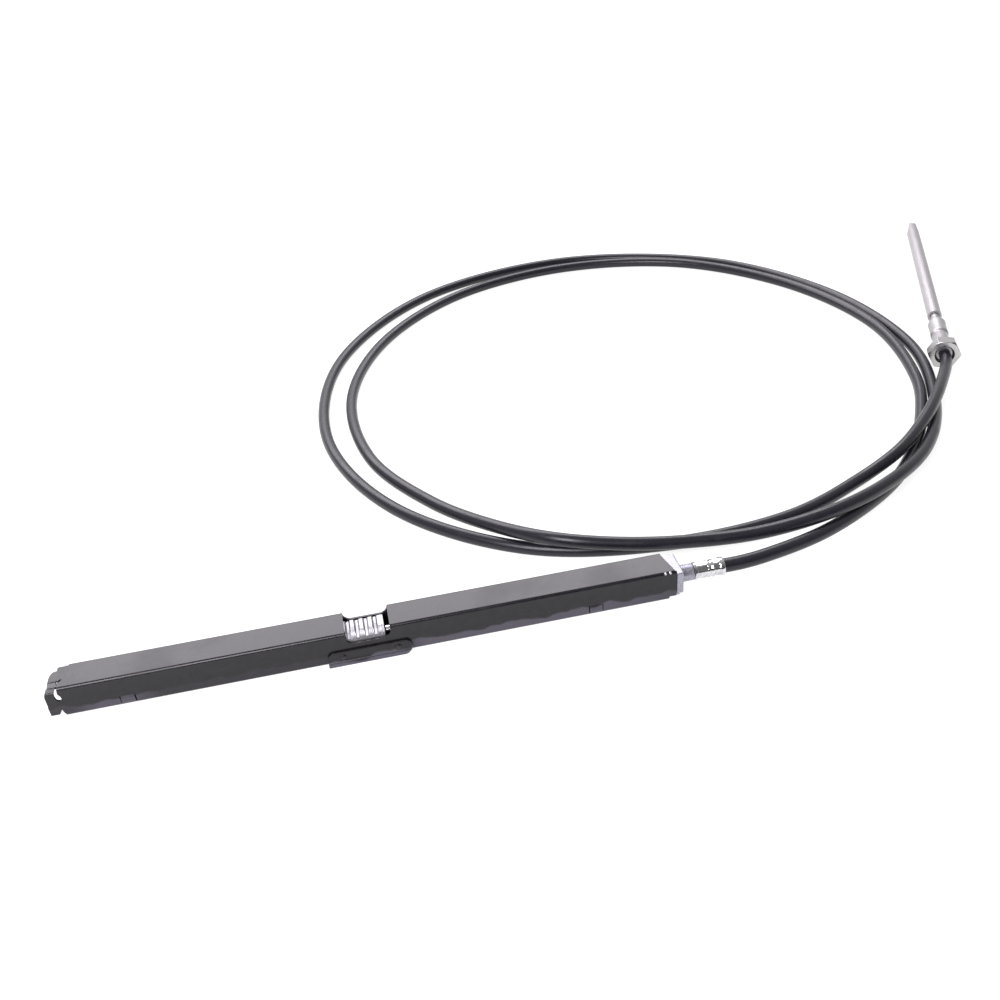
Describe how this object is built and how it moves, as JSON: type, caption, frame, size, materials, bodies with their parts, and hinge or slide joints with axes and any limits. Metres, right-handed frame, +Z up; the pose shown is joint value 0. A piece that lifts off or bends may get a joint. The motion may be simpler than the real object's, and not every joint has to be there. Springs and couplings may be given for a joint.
{
  "type": "boat steering cable",
  "caption": "Push-pull steering cable for a small boat, with a rack housing for a helm pinion at one end and a stainless output ram with a coupling nut at the other.",
  "frame": {"origin": "on the underside of the rack housing, below the middle of the pinion cut-out", "axes": "+X along the rack housing towards the cable, +Y across it towards the side the coil lies on, +Z up"},
  "size_m": [1.1112, 0.7717, 0.031],
  "materials": {
    "black_paint": "gloss black paint on folded steel",
    "cast_zinc": "grey zinc casting",
    "stainless": "satin stainless steel",
    "bright_steel": "bright plated steel",
    "black_jacket": "smooth black extruded jacket"
  },
  "bodies": {
    "base": {"rack_housing": "black_paint", "saddle_plate": "black_paint", "saddle_rivet_left": "black_paint", "saddle_rivet_right": "black_paint", "core_rod": "stainless", "end_fitting": "cast_zinc", "stake_left": "bright_steel", "stake_right": "bright_steel", "crimp_ferrule": "bright_steel", "cable_jacket": "black_jacket", "support_tube": "stainless"},
    "rack": {"rack": "cast_zinc"},
    "ram": {"output_ram": "stainless"},
    "nut": {"coupling_nut": "stainless"}
  },
  "joints": [
    {"name": "rack_slide", "type": "slide", "parent": "base", "child": "rack", "axis": [1, 0, 0], "range_m": [0, 0.229], "deforming": ["core_rod"]},
    {"name": "ram_slide", "type": "slide", "parent": "base", "child": "ram", "axis": [0.4196, 0.9077, 0], "range_m": [0, 0.229]},
    {"name": "nut_spin", "type": "hinge", "parent": "base", "child": "nut", "pos_m": [0.6799, 0.2829, 0.0155], "axis": [0.4196, 0.9077, 0], "continuous": true}
  ],
  "couplings": [
    {"joint": "ram_slide", "follows": "rack_slide", "ratio": 1}
  ]
}
